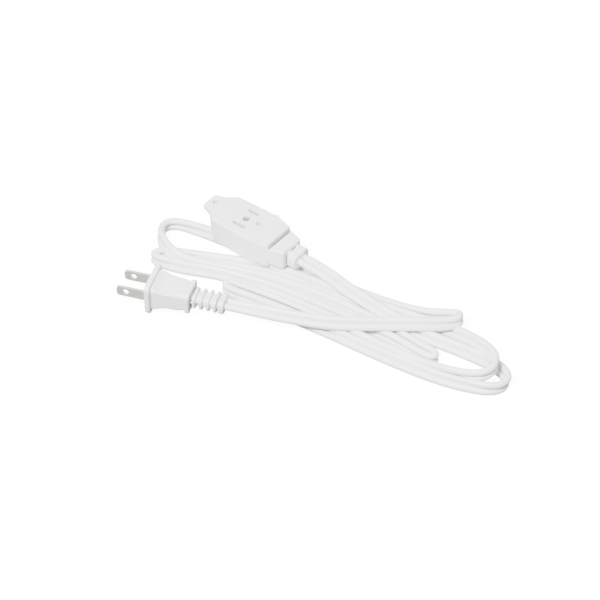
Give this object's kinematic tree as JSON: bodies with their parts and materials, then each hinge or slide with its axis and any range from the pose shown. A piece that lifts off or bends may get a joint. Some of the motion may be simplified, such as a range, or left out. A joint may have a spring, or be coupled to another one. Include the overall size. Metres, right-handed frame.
{
  "type": "indoor extension cord",
  "caption": "Indoor two-wire extension cord in white: a multi-outlet tap with a swing safety cover, a flat twin cord folded in a loose hank, and a two-blade plug with a ribbed strain relief.",
  "frame": {"origin": "centre of the tap's own bounding box", "axes": "+X along the tap towards its cord end, +Z out of its upper outlet face, +Y across the tap to the narrow-slot side"},
  "size_m": [0.226, 0.1106, 0.023],
  "materials": {
    "white_housing": "semi-gloss moulded",
    "cord_pvc": "satin flexible PVC",
    "inner_plastic": "matt moulded",
    "blade_nickel": "nickel-plated brass",
    "fastener_steel": "zinc-plated steel",
    "contact_brass": "rolled brass strip",
    "lead_copper": "bare copper"
  },
  "bodies": {
    "cord_set": {"tap_upper_shell": "white_housing", "tap_lower_shell": "white_housing", "cover_pivot_rivet": "white_housing", "assembly_screw": "fastener_steel", "tap_cord_clamp": "inner_plastic", "tap_end_collar": "white_housing", "tap_neutral_strip": "contact_brass", "tap_hot_strip": "contact_brass", "tap_neutral_lead": "lead_copper", "tap_hot_lead": "lead_copper", "plug_body": "white_housing", "plug_carrier": "inner_plastic", "plug_strain_relief": "white_housing", "plug_neutral_blade": "blade_nickel", "plug_neutral_crimp": "contact_brass", "plug_neutral_lead": "lead_copper", "plug_hot_blade": "blade_nickel", "plug_hot_crimp": "contact_brass", "plug_hot_lead": "lead_copper", "cord_tap_run": "cord_pvc", "cord_plug_run": "cord_pvc", "cord_hank": "cord_pvc"},
    "cover": {"swing_cover": "white_housing"}
  },
  "joints": [
    {"name": "cover_pivot", "type": "hinge", "parent": "cord_set", "child": "cover", "pos_m": [0.0027, 0, 0.0077], "axis": [0, 0, 1], "range_deg": [0, 180]}
  ]
}
